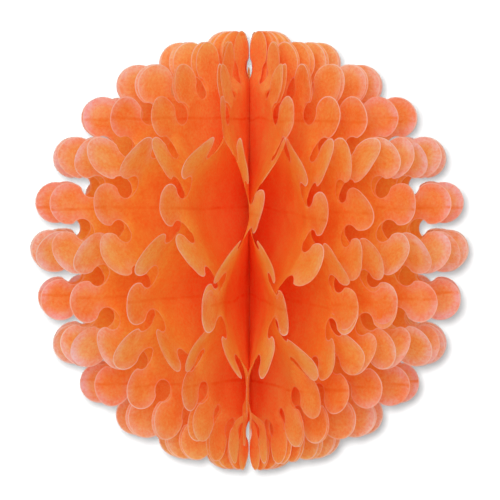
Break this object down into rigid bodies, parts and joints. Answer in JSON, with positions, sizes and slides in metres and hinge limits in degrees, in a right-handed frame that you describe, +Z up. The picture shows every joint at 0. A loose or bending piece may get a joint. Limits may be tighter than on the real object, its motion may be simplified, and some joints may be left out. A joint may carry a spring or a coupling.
{
  "type": "tissue paper pom pom",
  "caption": "Round honeycomb decoration of lobed tissue paper sheets, bound along an upright spine, glued to each other in level lines and fanned out full circle to hang as a ball.",
  "frame": {"origin": "centre of the ball, on the spine's axis midway between the two poles", "axes": "+Z up along the bound spine to the pole that the ball hangs from, -Y towards the viewer of the front, +X to that viewer's right"},
  "size_m": [0.4802, 0.4799, 0.4794],
  "materials": {
    "orange_tissue": "matt, thin and translucent, with a fine fibre mottle and faint creases at the glue lines"
  },
  "bodies": {
    "root": {"tissue_sheet_01": "orange_tissue", "tissue_sheet_02": "orange_tissue", "tissue_sheet_03": "orange_tissue", "tissue_sheet_04": "orange_tissue", "tissue_sheet_05": "orange_tissue", "tissue_sheet_06": "orange_tissue", "tissue_sheet_07": "orange_tissue", "tissue_sheet_08": "orange_tissue", "tissue_sheet_09": "orange_tissue", "tissue_sheet_10": "orange_tissue", "tissue_sheet_11": "orange_tissue", "tissue_sheet_12": "orange_tissue", "tissue_sheet_13": "orange_tissue", "tissue_sheet_14": "orange_tissue", "tissue_sheet_15": "orange_tissue", "tissue_sheet_16": "orange_tissue", "tissue_sheet_17": "orange_tissue", "tissue_sheet_18": "orange_tissue", "tissue_sheet_19": "orange_tissue", "tissue_sheet_20": "orange_tissue", "tissue_sheet_21": "orange_tissue", "tissue_sheet_22": "orange_tissue", "tissue_sheet_23": "orange_tissue", "tissue_sheet_24": "orange_tissue", "tissue_sheet_25": "orange_tissue", "tissue_sheet_26": "orange_tissue", "tissue_sheet_27": "orange_tissue", "tissue_sheet_28": "orange_tissue", "tissue_sheet_29": "orange_tissue", "tissue_sheet_30": "orange_tissue", "tissue_sheet_31": "orange_tissue", "tissue_sheet_32": "orange_tissue", "tissue_sheet_33": "orange_tissue", "tissue_sheet_34": "orange_tissue", "tissue_sheet_35": "orange_tissue", "tissue_sheet_36": "orange_tissue"}
  },
  "joints": []
}
